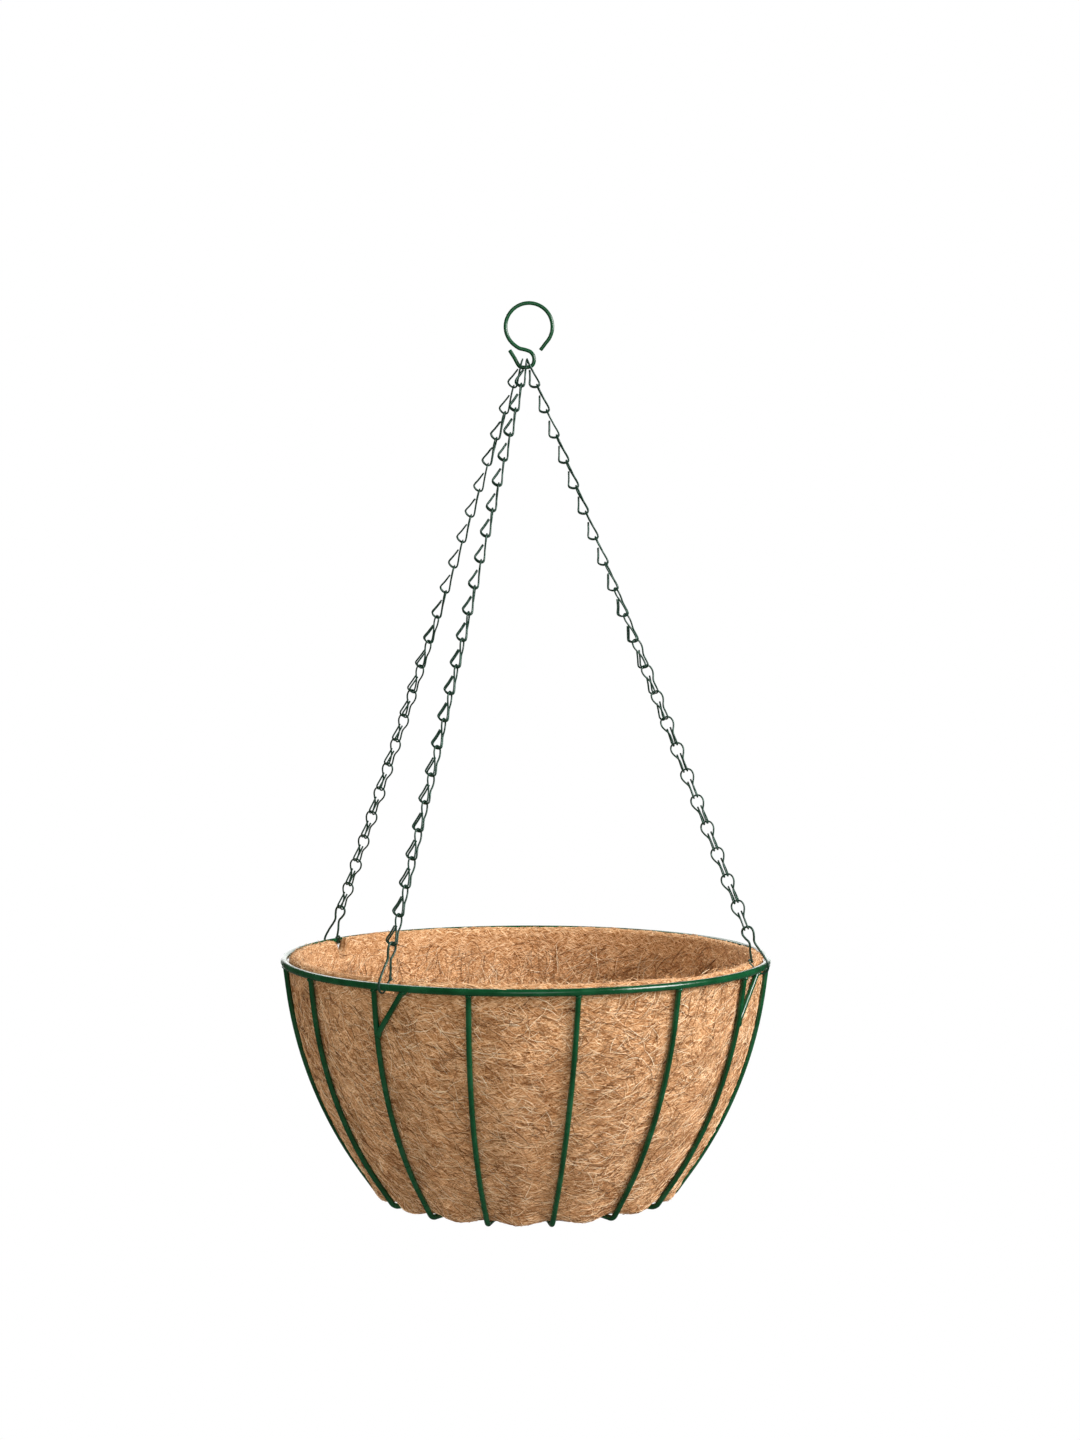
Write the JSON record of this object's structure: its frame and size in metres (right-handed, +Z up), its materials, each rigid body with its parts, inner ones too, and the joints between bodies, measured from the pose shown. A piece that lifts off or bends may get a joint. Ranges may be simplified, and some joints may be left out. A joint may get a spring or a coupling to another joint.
{
  "type": "hanging basket",
  "caption": "Round wire hanging basket with a coir felt liner, hung by jack chains with spring clips from an open S-shaped ring hook.",
  "frame": {"origin": "inner top of the hook's ring, where the basket hangs", "axes": "+Z up along the basket's axis, +X to the right and -Y to the front, with the hook flat in the XZ plane"},
  "size_m": [0.35, 0.35, 0.6372],
  "materials": {
    "coated_wire": "gloss",
    "chain_wire": "satin",
    "coir": "matte"
  },
  "bodies": {
    "hook": {"hook": "coated_wire"},
    "basket": {"base_ring": "coated_wire", "brace_back_left": "coated_wire", "brace_front_left": "coated_wire", "brace_right": "coated_wire", "coir_liner": "coir", "rib_01": "coated_wire", "rib_02": "coated_wire", "rib_03": "coated_wire", "rib_04": "coated_wire", "rib_05": "coated_wire", "rib_06": "coated_wire", "rib_07": "coated_wire", "rib_08": "coated_wire", "rib_09": "coated_wire", "rib_10": "coated_wire", "rib_11": "coated_wire", "rib_12": "coated_wire", "rib_13": "coated_wire", "rib_14": "coated_wire", "rib_15": "coated_wire", "rib_16": "coated_wire", "rim": "coated_wire", "rim_clip_back_left": "chain_wire", "rim_clip_front_left": "chain_wire", "rim_clip_right": "chain_wire"},
    "chain_back_left_lower": {"chain_back_left_links_01": "chain_wire", "chain_back_left_links_02": "chain_wire", "chain_back_left_links_03": "chain_wire", "chain_back_left_links_04": "chain_wire"},
    "chain_back_left_middle": {"chain_back_left_links_05": "chain_wire", "chain_back_left_links_06": "chain_wire", "chain_back_left_links_07": "chain_wire"},
    "chain_back_left_upper": {"chain_back_left_links_08": "chain_wire", "chain_back_left_links_09": "chain_wire", "chain_back_left_links_10": "chain_wire", "chain_back_left_links_11": "chain_wire"},
    "chain_front_left_lower": {"chain_front_left_links_01": "chain_wire", "chain_front_left_links_02": "chain_wire", "chain_front_left_links_03": "chain_wire", "chain_front_left_links_04": "chain_wire"},
    "chain_front_left_middle": {"chain_front_left_links_05": "chain_wire", "chain_front_left_links_06": "chain_wire", "chain_front_left_links_07": "chain_wire"},
    "chain_front_left_upper": {"chain_front_left_links_08": "chain_wire", "chain_front_left_links_09": "chain_wire", "chain_front_left_links_10": "chain_wire", "chain_front_left_links_11": "chain_wire"},
    "chain_right_lower": {"chain_right_links_01": "chain_wire", "chain_right_links_02": "chain_wire", "chain_right_links_03": "chain_wire", "chain_right_links_04": "chain_wire"},
    "chain_right_middle": {"chain_right_links_05": "chain_wire", "chain_right_links_06": "chain_wire", "chain_right_links_07": "chain_wire"},
    "chain_right_upper": {"chain_right_links_08": "chain_wire", "chain_right_links_09": "chain_wire", "chain_right_links_10": "chain_wire", "chain_right_links_11": "chain_wire"}
  },
  "joints": [
    {"name": "basket_swing", "type": "hinge", "parent": "hook", "child": "basket", "pos_m": [-0.0021, 0, -0.044], "axis": [1, 0, 0], "range_deg": [-35, 35]},
    {"name": "back_left_chain_bow", "type": "hinge", "parent": "basket", "child": "chain_back_left_lower", "pos_m": [-0.14181, 0.08067, -0.43931], "axis": [-0.5118, -0.8591, 0], "range_deg": [-1, 4]},
    {"name": "back_left_chain_middle", "type": "hinge", "parent": "chain_back_left_lower", "child": "chain_back_left_middle", "pos_m": [-0.0923, 0.05117, -0.29478], "axis": [-0.5118, -0.8591, 0], "range_deg": [-4, 1]},
    {"name": "back_left_chain_top", "type": "hinge", "parent": "chain_back_left_middle", "child": "chain_back_left_upper", "pos_m": [-0.05521, 0.02908, -0.18651], "axis": [-0.5118, -0.8591, 0], "range_deg": [-4, 1]},
    {"name": "front_left_chain_bow", "type": "hinge", "parent": "basket", "child": "chain_front_left_lower", "pos_m": [-0.08831, -0.13637, -0.43931], "axis": [0.8464, -0.5326, 0], "range_deg": [-4, 4]},
    {"name": "front_left_chain_middle", "type": "hinge", "parent": "chain_front_left_lower", "child": "chain_front_left_middle", "pos_m": [-0.05694, -0.08651, -0.29478], "axis": [0.8464, -0.5326, 0], "range_deg": [-4, 4]},
    {"name": "front_left_chain_top", "type": "hinge", "parent": "chain_front_left_middle", "child": "chain_front_left_upper", "pos_m": [-0.03343, -0.04916, -0.18651], "axis": [0.8464, -0.5326, 0], "range_deg": [-4, 4]},
    {"name": "right_chain_bow", "type": "hinge", "parent": "basket", "child": "chain_right_lower", "pos_m": [0.15089, -0.05119, -0.43931], "axis": [0.3228, 0.9465, 0], "range_deg": [-4, 4]},
    {"name": "right_chain_middle", "type": "hinge", "parent": "chain_right_lower", "child": "chain_right_middle", "pos_m": [0.09602, -0.03248, -0.29478], "axis": [0.3228, 0.9465, 0], "range_deg": [-4, 4]},
    {"name": "right_chain_top", "type": "hinge", "parent": "chain_right_middle", "child": "chain_right_upper", "pos_m": [0.05491, -0.01845, -0.18651], "axis": [0.3228, 0.9465, 0], "range_deg": [-4, 4]}
  ],
  "couplings": [
    {"joint": "back_left_chain_middle", "follows": "back_left_chain_bow", "ratio": -1},
    {"joint": "back_left_chain_top", "follows": "back_left_chain_bow", "ratio": -1},
    {"joint": "front_left_chain_middle", "follows": "front_left_chain_bow", "ratio": -1},
    {"joint": "front_left_chain_top", "follows": "front_left_chain_bow", "ratio": -1},
    {"joint": "right_chain_middle", "follows": "right_chain_bow", "ratio": -1},
    {"joint": "right_chain_top", "follows": "right_chain_bow", "ratio": -1}
  ]
}
